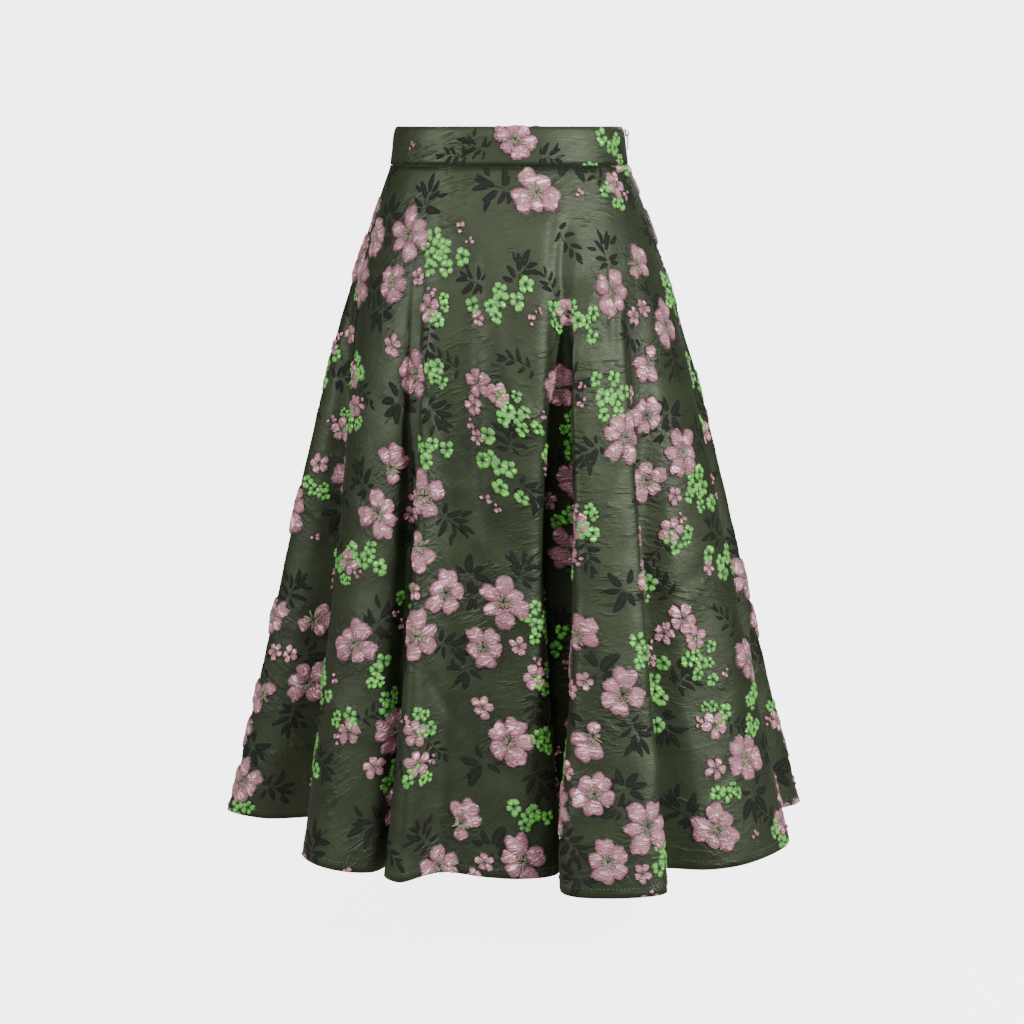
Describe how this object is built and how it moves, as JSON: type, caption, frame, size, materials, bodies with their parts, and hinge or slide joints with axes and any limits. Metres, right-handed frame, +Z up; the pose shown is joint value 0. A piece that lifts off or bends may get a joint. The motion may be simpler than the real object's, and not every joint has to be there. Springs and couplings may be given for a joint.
{
  "type": "circle skirt",
  "caption": "Flared midi circle skirt of puffed floral satin with deep soft folds, a plain waistband and a side zip, filled out as worn.",
  "frame": {"origin": "middle of the waistband, half way up it, on the line that the waist holds", "axes": "+Z up out of the waist; -Y is the front; +X is the wearer's left, where the zip runs"},
  "size_m": [0.6409, 0.583, 0.7453],
  "materials": {
    "satin": "olive green puffed satin with pink and green flowers",
    "tape": "dark green woven tape",
    "zip_metal": "dull rose-grey lacquered metal"
  },
  "bodies": {
    "skirt": {"skirt_front": "satin", "skirt_back": "satin", "waistband_front": "satin", "waistband_back": "satin", "zip_tape": "tape", "zip_slider": "zip_metal"},
    "pull_tab": {"zip_pull": "zip_metal"}
  },
  "joints": [
    {"name": "pull_tab_hinge", "type": "hinge", "parent": "skirt", "child": "pull_tab", "pos_m": [0.12476, 0, 0.01136], "axis": [0, -1, 0], "range_deg": [0, 150]}
  ]
}
